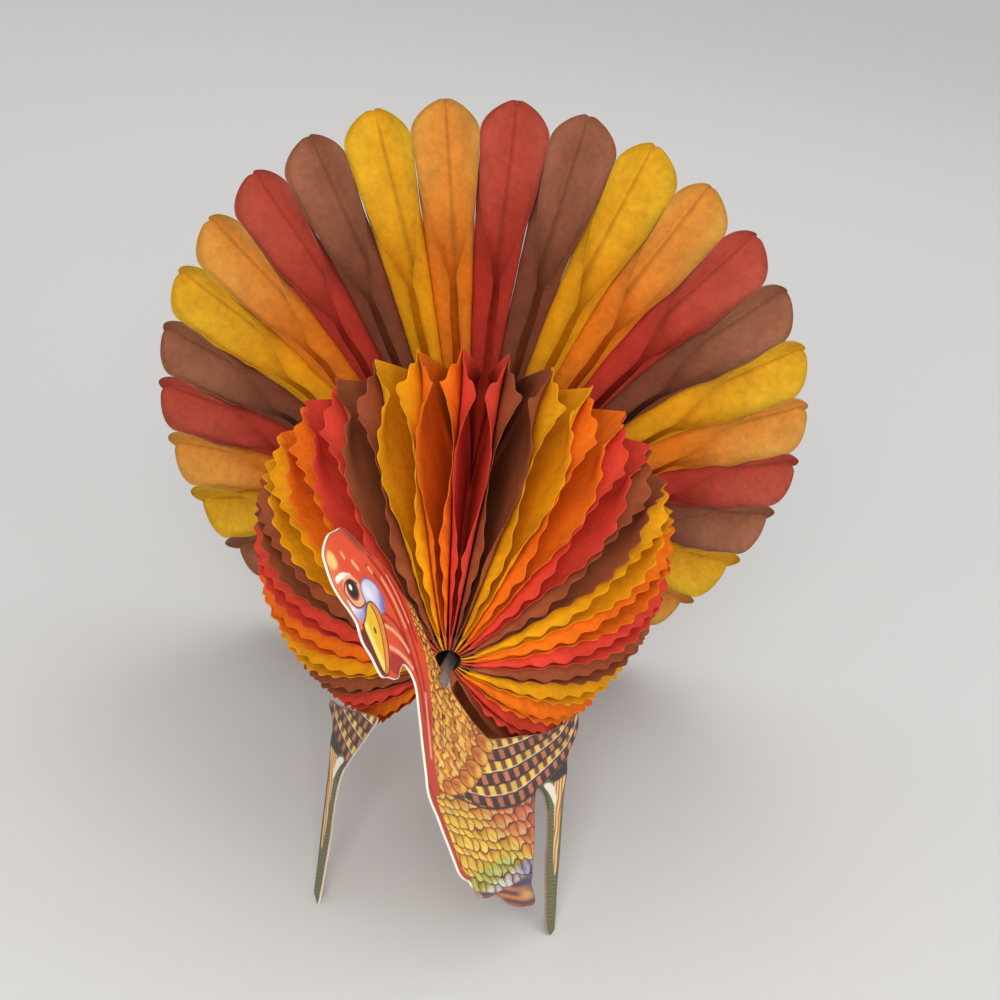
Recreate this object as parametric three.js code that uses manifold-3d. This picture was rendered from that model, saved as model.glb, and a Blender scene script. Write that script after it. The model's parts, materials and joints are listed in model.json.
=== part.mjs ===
// Fold-flat turkey table figure. Paired tissue sheets fan round a front-to-back spine and make
// the round body and the tail; a flat printed card is the head, breast, right wing and right leg,
// and a second flat card is the left wing and left leg.
// Millimetres, +Z up, the bird faces -Y, and +X is on the right of someone who looks at its face.
import * as THREE from 'three';
import { mergeVertices } from 'three/addons/utils/BufferGeometryUtils.js';
import Module from 'manifold-3d';

const wasm = await Module();
wasm.setup();

// Tissue fan. Setbacks are measured along the spine from its front end, radii from its axis.
const ballRadius = 69;
const crestAngle = 93;
const notchSetback = 97.7;
const notchRadius = 44;
const spineRadius = 8;
const spineLength = 97;
const tailRimRadius = 110;
const tailRimSetback = 142;
const tailTipRadius = 118;
const tailTipSetback = 156.5;
const tissueThickness = 0.5;
const petalGap = 0.3;
const widePetalAngle = 12;
const widePetalCount = 17;
const packedPetalAngles = [12.5, 13.2, 11, 9.2, 11.3];

// Spine core, a tight roll with a bore.
const coreGap = 0.4;
const boreRadius = 3.9;
const coreFrontSetback = 1;

// Cards. Lean is the tilt of the card's top to the left, yaw turns its rear edge to the right.
const cardThickness = 0.7;
const rightCardYaw = 14.5;
const rightCardLean = 32.8;
const rightCardAnchor = [-3, -16, 0];
const leftCardYaw = -12.2;
const leftCardLean = -20.7;
const leftCardAnchor = [-2.5, -20, 6.1];
const leftTabStart = 52;
const leftTabWidth = 5.2;
const leftTabTop = -58.3;
const leftTabThickness = 0.6;
const leftTabReach = 5;
const footCut = 0.9;

// Clip that pinches the neck and reaches into the bore.
const clipThickness = 0.5;
const clipClearance = 0.3;
const clipJawLength = 4.6;
const clipHeight = 4.4;
const clipTongueReach = 11;
const clipTongueShift = -0.75;

const tissueColours = {
  red: 0xbe3226,
  brown: 0x703724,
  yellow: 0xdea016,
  orange: 0xe4761e,
};
const colourOrder = ['red', 'brown', 'yellow', 'orange'];

// Card outlines in the card's own plane: first number toward the tail, second number up.
const headFront = [
  [-4, 61.4], [-8, 62.5], [-12, 61.7], [-15, 60], [-16.4, 57], [-17.5, 54], [-18.1, 50.5],
  [-17.8, 46], [-17, 42], [-16.8, 37.5], [-18, 34.6], [-18.8, 31.5], [-18.5, 27], [-18.9, 22],
  [-18.4, 19.4], [-16, 17.6], [-13.6, 15.2], [-11.6, 14.6], [-9, 15.6], [-6.4, 15.4],
];
const neckFront = [
  [-5.3, 12.6], [-5.6, 9], [-7.2, 5.8], [-10, 2.6], [-13.4, -1.4], [-17, -5.4], [-20, -9],
  [-23.2, -12.8], [-26, -16], [-27.4, -19.4], [-28.2, -24], [-29.5, -29], [-30.6, -34],
  [-31.6, -38], [-32.4, -42], [-31.6, -45], [-30.2, -47],
];
const breastBottom = [
  [-30, -50.5], [-29.3, -54], [-26, -57], [-22, -59.2], [-20, -62.2], [-18.3, -66],
  [-15, -70], [-11, -73.4], [-7, -76], [-4.6, -74.8], [-3, -71.2], [0, -70], [3, -68.2],
  [6.4, -66.4], [10, -64.4], [15, -61], [20, -57.6], [24.4, -55.9],
];
const legInner = [
  [26, -57.2], [26.3, -60], [24, -64], [20, -67.4], [15, -70.4], [10, -73], [5, -76.4],
  [0, -80], [-4, -82.8], [-7, -85.4],
];
const legOuter = [
  [-7.4, -88], [-5.6, -89.4], [-1, -87.4], [5, -84.2], [10, -81.6], [15, -79.2], [20, -76.8],
  [25, -74.2], [30, -71.6], [35, -69], [40, -66.9], [45, -65.2], [49.5, -62.4],
];
const rightWingEnd = [[54, -61.9], [59, -61.9], [64, -61], [68.4, -58.4]];
const rightWingTop = [
  [64.5, -56.8], [60, -55.2], [55, -53.2], [50, -51], [45, -48.6], [40, -45.6], [35, -42.2],
  [30, -38.7], [25, -35.5], [20, -32], [16, -29.2], [13.8, -27], [12.4, -23.5], [11, -19],
  [10, -14], [9.2, -9],
];
const neckBack = [
  [8.8, -4], [8.8, 0], [9.2, 5], [10, 10], [11, 15], [11.6, 20], [11.9, 24], [10.7, 27.6],
  [10, 31], [9.7, 36], [8.5, 41], [6.5, 46], [4.2, 50.5], [2.2, 55], [0.2, 59], [-1.6, 60.7],
];
const leftWingEnd = [[54, -61.9], [58, -62.3], [62.6, -62.8]];
const leftWingTop = [
  [62, -61], [58, -58.8], [52, -55.2], [46, -50.6], [40, -46.2], [34, -41.4], [28, -37], [24.4, -34.6],
];
const leftWingFront = [[23.2, -36], [24, -42], [25, -48], [25.8, -53]];

const radians = THREE.MathUtils.degToRad;
const scaleOfCards = ballRadius / 69;

// The angle that each petal takes of the fan, from the lower left over the top to the lower right.
const petalAngles = [
  ...[...packedPetalAngles].reverse(),
  ...Array(widePetalCount).fill(widePetalAngle),
  ...packedPetalAngles,
];
const fanAngle = petalAngles.reduce((sum, angle) => sum + angle, 0);

// Steps along one petal: a point on its fold line, a point on its free edge, and how far apart
// its two sheets stand there, as a share of the petal's angle.
function petalSteps() {
  const steps = [];
  const ballAngles = [9, 22, 36, 50, 64, 78, crestAngle];
  const crestFold = spineLength * 0.77;
  for (const [index, angle] of ballAngles.entries()) {
    const share = index / (ballAngles.length - 1);
    const edgeSetback = ballRadius - ballRadius * Math.cos(radians(angle));
    const edgeRadius = ballRadius * Math.sin(radians(angle));
    const fold = new THREE.Vector2(THREE.MathUtils.lerp(2.4, crestFold, share), spineRadius);
    steps.push({ fold, edge: new THREE.Vector2(edgeSetback, edgeRadius), spread: 1 });
  }
  const crest = steps[steps.length - 1].edge;
  const notch = new THREE.Vector2(notchSetback, notchRadius);
  for (const share of [0.5, 1]) {
    const fold = new THREE.Vector2(THREE.MathUtils.lerp(crestFold, spineLength, share), spineRadius);
    steps.push({ fold, edge: crest.clone().lerp(notch, share), spread: 1 });
  }
  const rim = new THREE.Vector2(tailRimSetback, tailRimRadius);
  const foldStart = new THREE.Vector2(spineLength, spineRadius);
  const foldEnd = new THREE.Vector2(tailTipSetback, tailTipRadius - 2);
  for (const [edgeShare, foldShare] of [[0.33, 0.33], [0.66, 0.58], [1, 0.8]]) {
    const edge = notch.clone().lerp(rim, edgeShare);
    steps.push({ fold: foldStart.clone().lerp(foldEnd, foldShare), edge, spread: 1 });
  }
  for (const [angle, foldShare] of [[40, 0.92], [75, 1]]) {
    const across = 1 - Math.cos(radians(angle));
    const edge = new THREE.Vector2(
      rim.x + (tailTipSetback - rim.x) * across,
      rim.y + (tailTipRadius - rim.y) * Math.sin(radians(angle)),
    );
    steps.push({ fold: foldStart.clone().lerp(foldEnd, foldShare), edge, spread: 1 - across });
  }
  return steps;
}

// A petal is two tissue sheets that meet at a fold line and open to the front like a trough.
// A box with one segment per step is bent to that shape. A turned box has its faces split the other
// way, and each petal takes the split with which its thin solid reads back from STEP unharmed.
function petalGeometry(steps, centreAngle, petalAngle, turned) {
  const last = steps.length - 1;
  const geometry = new THREE.BoxGeometry(last, 2, 2, last, 2, 1);
  const place = geometry.attributes.position;
  for (let i = 0; i < place.count; i += 1) {
    const step = steps[Math.round(turned * place.getX(i) + last / 2)];
    const side = Math.sign(Math.round(turned * place.getY(i)));
    const outside = place.getZ(i) > 0;
    const room = radians(petalAngle / 2) - petalGap / 2 / step.edge.y;
    const halfAngle = room * step.spread;
    const halfWidth = halfAngle * step.edge.y;
    const thickness = Math.min(tissueThickness, halfWidth * 0.45);
    const start = outside ? 0 : thickness / halfWidth;
    const along = side === 0 ? start : 1;
    const turn = outside ? halfAngle : halfAngle - thickness / step.edge.y;
    const spot = step.fold.clone().lerp(step.edge, along);
    const angle = radians(centreAngle) + side * turn;
    place.setXYZ(i, spot.y * Math.sin(angle), spot.x, spot.y * Math.cos(angle));
  }
  geometry.deleteAttribute('normal');
  geometry.deleteAttribute('uv');
  const merged = mergeVertices(geometry, 1e-4);
  merged.computeVertexNormals();
  return merged;
}

// Where a card's own plane stands in the fan's frame.
function cardPlacement(anchor, yaw, lean) {
  const turn = radians(yaw);
  const tilt = radians(lean);
  const back = new THREE.Vector3(Math.sin(turn), Math.cos(turn), 0);
  const up = new THREE.Vector3(
    -Math.sin(tilt) * Math.cos(turn), Math.sin(tilt) * Math.sin(turn), Math.cos(tilt));
  const face = new THREE.Vector3().crossVectors(back, up);
  const matrix = new THREE.Matrix4().makeBasis(back, up, face);
  return matrix.setPosition(new THREE.Vector3(...anchor).multiplyScalar(scaleOfCards));
}

function cardGeometry(outline, placement) {
  const points = outline.map(([s, v]) => new THREE.Vector2(s, v).multiplyScalar(scaleOfCards));
  const shape = new THREE.Shape(points);
  const geometry = new THREE.ExtrudeGeometry(shape, { depth: cardThickness, bevelEnabled: false });
  geometry.translate(0, 0, -cardThickness / 2);
  return geometry.applyMatrix4(placement);
}

function solidOf(geometry) {
  const bare = geometry.index ? geometry.toNonIndexed() : geometry.clone();
  bare.deleteAttribute('normal');
  bare.deleteAttribute('uv');
  const merged = mergeVertices(bare, 1e-4);
  return new wasm.Manifold(new wasm.Mesh({
    numProp: 3,
    vertProperties: new Float32Array(merged.attributes.position.array),
    triVerts: new Uint32Array(merged.index.array),
  }));
}

function geometryOf(solid) {
  const mesh = solid.getMesh();
  const geometry = new THREE.BufferGeometry();
  geometry.setAttribute('position', new THREE.BufferAttribute(mesh.vertProperties, 3));
  geometry.setIndex(new THREE.BufferAttribute(mesh.triVerts, 1));
  geometry.computeVertexNormals();
  return geometry;
}

// A clip of bent strip: two jaws over the edge of the neck and a tongue toward the tail.
function clipGeometry(placement) {
  const inside = cardThickness / 2 + clipClearance;
  const outside = inside + clipThickness;
  const web = 9.1 * scaleOfCards + clipClearance;
  const jaw = web - clipJawLength;
  const back = web + clipThickness;
  const tongue = back + clipTongueReach;
  const low = clipTongueShift - clipThickness / 2;
  const high = clipTongueShift + clipThickness / 2;
  const shape = new THREE.Shape([
    [jaw, inside], [jaw, outside], [back, outside], [back, high], [tongue, high], [tongue, low],
    [back, low], [back, -outside], [jaw, -outside], [jaw, -inside], [web, -inside], [web, inside],
  ].map(([x, y]) => new THREE.Vector2(x, y)));
  const geometry = new THREE.ExtrudeGeometry(shape, { depth: clipHeight, bevelEnabled: false });
  geometry.rotateX(Math.PI / 2);
  geometry.translate(0, clipHeight / 2, 0);
  return geometry.applyMatrix4(placement);
}

function tissueMaterial(colour) {
  return new THREE.MeshStandardMaterial({ color: tissueColours[colour], roughness: 0.9, metalness: 0 });
}

function meshOf(name, geometry, material) {
  const mesh = new THREE.Mesh(geometry, material);
  mesh.name = name;
  return mesh;
}

const fan = new THREE.Group();

const steps = petalSteps();
let edgeAngle = -fanAngle / 2;
const middle = (petalAngles.length - 1) / 2;
const plainPetals = [15, 16, 21, 22];
for (const [index, petalAngle] of petalAngles.entries()) {
  const centreAngle = edgeAngle + petalAngle / 2;
  edgeAngle += petalAngle;
  const colour = colourOrder[THREE.MathUtils.euclideanModulo(index - middle, 4)];
  const name = `tissue_petal_${String(index + 1).padStart(2, '0')}`;
  const turned = plainPetals.includes(index + 1) ? 1 : -1;
  const geometry = petalGeometry(steps, centreAngle, petalAngle, turned);
  fan.add(meshOf(name, geometry, tissueMaterial(colour)));
}

const coreRadius = spineRadius - coreGap;
const coreProfile = [
  [boreRadius, coreFrontSetback], [coreRadius, coreFrontSetback], [coreRadius, spineLength],
  [boreRadius, spineLength], [boreRadius, coreFrontSetback],
].map(([x, y]) => new THREE.Vector2(x, y));
fan.add(meshOf('spine_core', new THREE.LatheGeometry(coreProfile, 32),
  new THREE.MeshStandardMaterial({ color: 0x5a3a28, roughness: 0.9, metalness: 0 })));

const rightPlacement = cardPlacement(rightCardAnchor, rightCardYaw, rightCardLean);
const leftPlacement = cardPlacement(leftCardAnchor, leftCardYaw, leftCardLean);
const rightOutline = [
  ...headFront, ...neckFront, ...breastBottom, ...legInner, ...legOuter, ...rightWingEnd,
  ...rightWingTop, ...neckBack,
];
const leftOutline = [
  ...leftWingFront, ...legInner, ...legOuter, ...leftWingEnd, ...leftWingTop,
];
const rightPlate = cardGeometry(rightOutline, rightPlacement);
const leftPlate = cardGeometry(leftOutline, leftPlacement);

// The figure stands on both legs and on the lowest tail lobes, so the fan is pitched until the
// legs and the lobes reach one level. Each leg is cut flat there.
function lowestPoint(geometry, pitch) {
  const place = geometry.attributes.position;
  const low = new THREE.Vector3(0, 0, Infinity);
  const spot = new THREE.Vector3();
  const level = (p) => p.y * Math.sin(pitch) + p.z * Math.cos(pitch);
  for (let i = 0; i < place.count; i += 1) {
    spot.fromBufferAttribute(place, i);
    if (low.z === Infinity || level(spot) < level(low)) low.copy(spot);
  }
  return low;
}
const endPetal = fan.children[0].geometry;
let pitch = 0;
let floorLevel = 0;
for (let round = 0; round < 6; round += 1) {
  const rightFoot = lowestPoint(rightPlate, pitch);
  const leftFoot = lowestPoint(leftPlate, pitch);
  const rear = lowestPoint(endPetal, pitch);
  const foot = rightFoot.clone().add(leftFoot).multiplyScalar(0.5);
  const highFoot = Math.max(rightFoot.z, leftFoot.z) - foot.z;
  pitch = Math.atan2(foot.z + highFoot + footCut - rear.z, rear.y - foot.y);
  floorLevel = rear.y * Math.sin(pitch) + rear.z * Math.cos(pitch);
}
const below = new THREE.BoxGeometry(400, 400, 60);
below.translate(0, 0, floorLevel - 30);
below.applyMatrix4(new THREE.Matrix4().makeRotationX(-pitch));
const floorSolid = solidOf(below);

const cardMaterial = () => new THREE.MeshStandardMaterial({
  color: 0xd8a548, roughness: 0.6, metalness: 0,
});
const rightCard = geometryOf(solidOf(rightPlate).subtract(floorSolid));
// A glue tab folds in from the left card's wing to the edge of the first petal.
const leftTab = new THREE.BoxGeometry(leftTabWidth, leftTabThickness, leftTabReach);
leftTab.translate(
  leftTabStart + leftTabWidth / 2, leftTabTop - leftTabThickness / 2, leftTabReach / 2);
leftTab.scale(scaleOfCards, scaleOfCards, 1);
leftTab.applyMatrix4(leftPlacement);
const leftSolid = solidOf(leftPlate).add(solidOf(leftTab));
const leftCard = geometryOf(leftSolid.subtract(floorSolid));
fan.add(meshOf('bird_card', rightCard, cardMaterial()));
fan.add(meshOf('left_wing_card', leftCard, cardMaterial()));
fan.add(meshOf('neck_clip', clipGeometry(rightPlacement),
  new THREE.MeshStandardMaterial({ color: 0x8c8884, roughness: 0.45, metalness: 0.9 })));

// The origin is under the middle of the figure, on the surface that it stands on.
fan.rotation.x = pitch;
fan.updateMatrixWorld(true);
const box = new THREE.Box3().setFromObject(fan, true);
const centre = box.getCenter(new THREE.Vector3());
fan.position.set(-centre.x, -centre.y, -box.min.z);

const turkey = new THREE.Group();
turkey.add(fan);
turkey.updateMatrixWorld(true);

export default turkey;
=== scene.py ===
import json
import math

import bpy
import numpy as np
from mathutils import Matrix, Vector
from mathutils.geometry import delaunay_2d_cdt


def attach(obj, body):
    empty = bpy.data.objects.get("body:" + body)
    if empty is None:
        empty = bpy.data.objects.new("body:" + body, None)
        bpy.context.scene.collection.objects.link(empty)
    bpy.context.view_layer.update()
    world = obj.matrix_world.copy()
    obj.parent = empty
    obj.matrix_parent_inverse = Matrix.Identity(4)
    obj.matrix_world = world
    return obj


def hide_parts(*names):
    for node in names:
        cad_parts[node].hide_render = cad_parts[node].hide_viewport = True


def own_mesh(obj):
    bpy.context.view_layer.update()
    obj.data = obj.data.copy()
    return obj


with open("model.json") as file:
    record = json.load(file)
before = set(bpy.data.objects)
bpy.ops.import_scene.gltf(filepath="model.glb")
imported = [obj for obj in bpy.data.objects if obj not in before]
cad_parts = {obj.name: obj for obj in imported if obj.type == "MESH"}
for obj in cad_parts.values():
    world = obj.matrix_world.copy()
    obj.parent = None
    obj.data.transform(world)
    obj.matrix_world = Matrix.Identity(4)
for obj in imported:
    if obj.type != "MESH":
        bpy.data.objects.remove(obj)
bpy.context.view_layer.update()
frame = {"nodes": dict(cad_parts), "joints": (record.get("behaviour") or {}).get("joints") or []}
nodes = frame["nodes"]
print("frame loaded")

# The fan's own frame: x to the right, y back along the spine, z up, in millimetres from the pole.
foldJoint = next(j for j in frame["joints"] if j["name"] == "fan_fold")
spineForward = Vector(foldJoint["axis"]).normalized()
coreFrontSetback = 0.001
pole = Vector(foldJoint["pos_m"]) + spineForward * coreFrontSetback
sideways = Vector((1, 0, 0))
backward = -spineForward
upward = sideways.cross(backward)
fanMatrix = Matrix((sideways, backward, upward)).transposed().to_4x4()
fanMatrix.translation = pole
fanTurn = np.array(fanMatrix.to_3x3())
millimetre = 0.001


def toFrame(points):
    return points @ fanTurn.T * millimetre + np.array(pole)


def deselectAll():
    bpy.ops.object.select_all(action="DESELECT")


def makeActive(piece):
    deselectAll()
    piece.select_set(True)
    bpy.context.view_layer.objects.active = piece


def linear(colour):
    shares = np.asarray(colour, float) / 255
    return np.where(shares <= 0.04045, shares / 12.92, ((shares + 0.055) / 1.055) ** 2.4)


def smoothStep(low, high, value):
    share = np.clip((value - low) / (high - low), 0, 1)
    return share * share * (3 - 2 * share)


def readPoints(mesh):
    flat = np.zeros(len(mesh.vertices) * 3)
    mesh.vertices.foreach_get("co", flat)
    return flat.reshape(-1, 3)


def placePoints(mesh, shape):
    mesh.vertices.foreach_set("co", toFrame(shape).ravel())


def editAll(piece, operator, **settings):
    makeActive(piece)
    bpy.ops.object.mode_set(mode="EDIT")
    bpy.ops.mesh.select_all(action="SELECT")
    operator(**settings)
    bpy.ops.object.mode_set(mode="OBJECT")


# Shader effects that the materials share
def addNode(tree, kind, **settings):
    node = tree.nodes.new(kind)
    for key, value in settings.items():
        setattr(node, key, value)
    return node


def multiplyColours(tree, first, second):
    # A Mix node keeps its colour sockets at inputs 6 and 7 and output 2.
    node = addNode(tree, "ShaderNodeMix", data_type="RGBA", blend_type="MULTIPLY")
    node.inputs[0].default_value = 1
    tree.links.new(first, node.inputs[6])
    tree.links.new(second, node.inputs[7])
    return node.outputs[2]


fibreLook = dict(detail=3, roughness=0.65, cloudDetail=2, cloudShare=0.5)


def paperFibreGroup():
    look = fibreLook
    group = bpy.data.node_groups.new("paper fibre", "ShaderNodeTree")
    for way, labels in (("INPUT", ("Size", "Cloud Size")), ("OUTPUT", ("Mottle", "Height"))):
        for label in labels:
            group.interface.new_socket(label, in_out=way, socket_type="NodeSocketFloat")
    start = addNode(group, "NodeGroupInput")
    end = addNode(group, "NodeGroupOutput")
    place = addNode(group, "ShaderNodeTexCoord")
    fine = addNode(group, "ShaderNodeTexNoise", noise_dimensions="3D")
    fine.inputs["Detail"].default_value = look["detail"]
    fine.inputs["Roughness"].default_value = look["roughness"]
    cloud = addNode(group, "ShaderNodeTexNoise", noise_dimensions="3D")
    cloud.inputs["Detail"].default_value = look["cloudDetail"]
    for node, label in ((fine, "Size"), (cloud, "Cloud Size")):
        group.links.new(place.outputs["Object"], node.inputs["Vector"])
        group.links.new(start.outputs[label], node.inputs["Scale"])
    both = addNode(group, "ShaderNodeMix", data_type="FLOAT")
    both.inputs[0].default_value = look["cloudShare"]
    group.links.new(fine.outputs["Fac"], both.inputs[2])
    group.links.new(cloud.outputs["Fac"], both.inputs[3])
    group.links.new(both.outputs[0], end.inputs["Mottle"])
    group.links.new(fine.outputs["Fac"], end.inputs["Height"])
    return group


paperFibre = paperFibreGroup()


def startMaterial(name, settings):
    material = bpy.data.materials.new(name)
    material.use_nodes = True
    tree = material.node_tree
    shader = tree.nodes["Principled BSDF"]
    for label, value in settings.items():
        shader.inputs[label].default_value = value
    return material, tree, shader


def ramp(tree, source, stops):
    node = addNode(tree, "ShaderNodeValToRGB")
    tree.links.new(source, node.inputs["Fac"])
    elements = node.color_ramp.elements
    while len(elements) < len(stops):
        elements.new(0.5)
    for element, (place, colour) in zip(elements, stops):
        element.position = place
        element.color = (*linear(colour), 1)
    return node.outputs["Color"]


def paperMottle(tree, shader, finish):
    # The fibre gives the surface its bump and returns its mottled colour.
    fibre = addNode(tree, "ShaderNodeGroup", node_tree=paperFibre)
    fibre.inputs["Size"].default_value = finish["fibreSize"]
    fibre.inputs["Cloud Size"].default_value = finish["cloudSize"]
    bump = addNode(tree, "ShaderNodeBump")
    bump.inputs["Strength"].default_value = finish["bump"]
    bump.inputs["Distance"].default_value = finish["bumpDepth"]
    tree.links.new(fibre.outputs["Height"], bump.inputs["Height"])
    tree.links.new(bump.outputs["Normal"], shader.inputs["Normal"])
    return ramp(tree, fibre.outputs["Mottle"], finish["mottle"])


# Tissue colours with painted light: the ball colours are brightened against the shade inside the ball, and
# the tip colours are paler where light shines through one sheet.
tissueLook = {
    "red": dict(ball=(238, 76, 54), tail=(172, 46, 32), tip=(176, 88, 70)),
    "brown": dict(ball=(166, 88, 52), tail=(117, 61, 40), tip=(163, 110, 83)),
    "yellow": dict(ball=(255, 174, 12), tail=(219, 147, 6), tip=(208, 174, 43)),
    "orange": dict(ball=(255, 126, 20), tail=(217, 116, 12), tip=(201, 159, 76)),
}
tissueOrder = ["red", "brown", "yellow", "orange"]
tissueFinish = dict(
    shader={
        "Roughness": 0.86, "Specular IOR Level": 0.15, "Subsurface Weight": 0.5,
        "Subsurface Radius": (0.8, 0.6, 0.45), "Subsurface Scale": 0.0006,
    },
    fibreSize=420, cloudSize=90, bump=0.25, bumpDepth=0.0004,
    mottle=[(0.32, (214, 210, 206)), (0.66, (255, 255, 255))],
    # Painted shade: the last stops darken the sheet at its fold and a little at its outer edge.
    paintedLightStops=[0.08, 0.2, 0.95], foldAndEdgeShade=[(0.0, 214), (0.06, 255), (0.7, 255), (0.97, 236)],
)


def tissueMaterial(name, look):
    finish = tissueFinish
    material, tree, shader = startMaterial("tissue " + name, finish["shader"])
    depth = addNode(tree, "ShaderNodeAttribute", attribute_name="leafDepth").outputs["Fac"]
    tip = addNode(tree, "ShaderNodeAttribute", attribute_name="leafPaintedLight").outputs["Fac"]
    leafColours = (look["ball"], look["tail"], look["tip"])
    # Painted light: the colour runs from the brightened ball to the paler tips by the painted light share.
    colour = ramp(tree, tip, list(zip(finish["paintedLightStops"], leafColours)))
    # Painted shade: the sheet is darkened at its fold and a little at its outer edge.
    shade = ramp(tree, depth, [(place, (grey, grey, grey)) for place, grey in finish["foldAndEdgeShade"]])
    colour = multiplyColours(tree, colour, shade)
    colour = multiplyColours(tree, colour, paperMottle(tree, shader, finish))
    tree.links.new(colour, shader.inputs["Base Color"])
    return material


tissueMaterials = {name: tissueMaterial(name, look) for name, look in tissueLook.items()}
print("tissue materials ready")

# Tissue petals: sizes in millimetres, angles in degrees, places as (back from the pole, out from the spine)
petal = dict(
    packedAngles=[12.5, 13.2, 11, 9.2, 11.3], wideAngle=12, wideCount=17, seed=11,
    ballRadius=69, ballStart=3.6, crestAngle=93, notch=(97.7, 44), spineRadius=8, spineLength=97,
    boreRadius=3.9, foldAngles=[3.6, 9, 11], foldBacks=[0.6, 0.85, 2.4], crestFold=74.7,
    rim=(142, 110), tip=(152, 118), tipDrop=1.0, seam=(153.4, 116.8), lobeTop=0.17, lobeTurn=0.8,
    foldEnd=(155, 114.4), foldPlaces=[0, 0.33, 0.66, 1], foldShares=[0, 0.33, 0.58, 0.8],
    gap=0.3, tailGap=0.12, paper=0.12,
    ballRows=150, shoulderRows=20, tailRows=72, tipRows=22, columns=15, leafPower=1.8,
    scallopLength=8.4, scallopOut=0.25, scallopIn=1.15, scallopRise=(6, 24),
    biteAngles=[60, 110], topBite=1.8, tailWaveLength=17, tailWave=0.7,
    ballCells=[(3.6, 0.5), (30, 0.16), (52, 1.0), (75, 0.14), (91, 1.0)], cellShift=2,
    tailCells=[(0, 0.3), (0.39, 0.16), (0.82, 0.97), (1, 1.0)],
    leastSpread=0.12, sideAngles=[45, 100], sideSpread=0.5,
    curl=10.5, tailCurl=8.5, curlLimit=2.1, tailFullness=6, lobeFullness=2,
    endDroop=15, droopBacks=(52, 18), sag=2.6, sagAngles=(115, 145), sagRows=(85, 65),
    ruffle=0.15, ruffleStep=0.4, ruffleReach=4, warp=0.55, warpWaves=1.3, warpRows=30, keepFolded=0.06,
    # Painted light shares for the tissue colour: low on the ball, rising to the paler lobe tips
    ballLight=0.05, notchLight=0.25, rimLight=0.85, lightStart=0.4, innerLight=0.6, fullnessStart=0.6,
)
packed = petal["packedAngles"]
petalAngles = packed[::-1] + [petal["wideAngle"]] * petal["wideCount"] + packed
lastPetal = len(petalAngles) - 1
middlePetal = lastPetal // 2
draws = np.random.default_rng(petal["seed"])


def cellSpread(place, cells, shift):
    spread = np.zeros_like(place)
    for (start, first), (end, last) in zip(cells, cells[1:]):
        share = np.clip((place - start - shift) / (end - start), 0, 1)
        eased = np.sin(share * math.pi / 2) if last > first else 1 - np.sin((1 - share) * math.pi / 2)
        here = (place >= start + shift) if start != cells[0][0] else np.ones_like(place, bool)
        spread = np.where(here, first + (last - first) * eased, spread)
    return spread


# Each part of a leaf gives its rows' fold, edge, plain edge, spread, painted light share and fullness.
def ballPart(centre, phase, shift):
    p = petal
    degrees = np.linspace(p["ballStart"], p["crestAngle"], p["ballRows"])
    turn = np.radians(degrees)
    wave = np.cos(2 * np.pi * (turn * p["ballRadius"] / p["scallopLength"] + phase))
    rise = smoothStep(*p["scallopRise"], degrees)
    bite = p["scallopIn"] * np.interp(abs(centre), p["biteAngles"], [p["topBite"], 1])
    radius = p["ballRadius"] + rise * (p["scallopOut"] - bite * (1 - wave) / 2)
    radius += p["sag"] * smoothStep(*p["sagAngles"], centre) * rise * smoothStep(*p["sagRows"], degrees)
    outward = np.stack([-np.cos(turn), np.sin(turn)], 1)
    middle = np.array([p["ballRadius"], 0])
    edge = middle + radius[:, None] * outward
    plain = middle + p["ballRadius"] * outward
    fold = np.stack([
        np.interp(degrees, [*p["foldAngles"], p["crestAngle"]], [*p["foldBacks"], p["crestFold"]]),
        np.interp(degrees, p["foldAngles"][:2], [p["boreRadius"], p["spineRadius"]]),
    ], 1)
    narrowing = np.interp(abs(centre), p["sideAngles"], [1, p["sideSpread"]])
    spread = cellSpread(degrees, p["ballCells"], shift)
    spread = p["leastSpread"] + (spread - p["leastSpread"]) * narrowing
    return fold, edge, plain, spread, np.full(len(turn), p["ballLight"]), np.ones(len(turn))


def tailFold(share):
    start = np.array([petal["spineLength"], petal["spineRadius"]])
    return start + share[:, None] * (np.array(petal["foldEnd"]) - start)


def shoulderPart(ballFold, ballEdge, ballSpread):
    p = petal
    share = np.linspace(0, 1, p["shoulderRows"] + 1)[1:]
    edge = ballEdge + share[:, None] * (np.array(p["notch"]) - ballEdge)
    fold = ballFold + share[:, None] * (tailFold(np.zeros(1)) - ballFold)
    spread = ballSpread + share * (p["tailCells"][0][1] - ballSpread)
    light = p["ballLight"] + (p["notchLight"] - p["ballLight"]) * share
    return fold, edge, edge, spread, light, 1 + (p["tailFullness"] - 1) * share


def tailPart(waver):
    p = petal
    out = np.linspace(0, 1, p["tailRows"] + 1)[1:]
    notch = np.array(p["notch"])
    along = np.array(p["rim"]) - notch
    length = np.linalg.norm(along)
    across = np.array([-along[1], along[0]]) / length
    ripple = np.sin(2 * np.pi * (out * length / p["tailWaveLength"] + waver))
    ripple *= np.sin(np.pi * out) * p["tailWave"]
    plain = notch + out[:, None] * along
    edge = plain + ripple[:, None] * across
    fold = tailFold(np.interp(out, p["foldPlaces"], p["foldShares"]))
    light = p["notchLight"] + (p["rimLight"] - p["notchLight"]) * smoothStep(p["lightStart"], 1, out)
    slimming = (p["tailFullness"] - p["lobeFullness"]) * smoothStep(p["fullnessStart"], 1, out)
    return fold, edge, plain, cellSpread(out, p["tailCells"], 0), light, p["tailFullness"] - slimming


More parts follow.
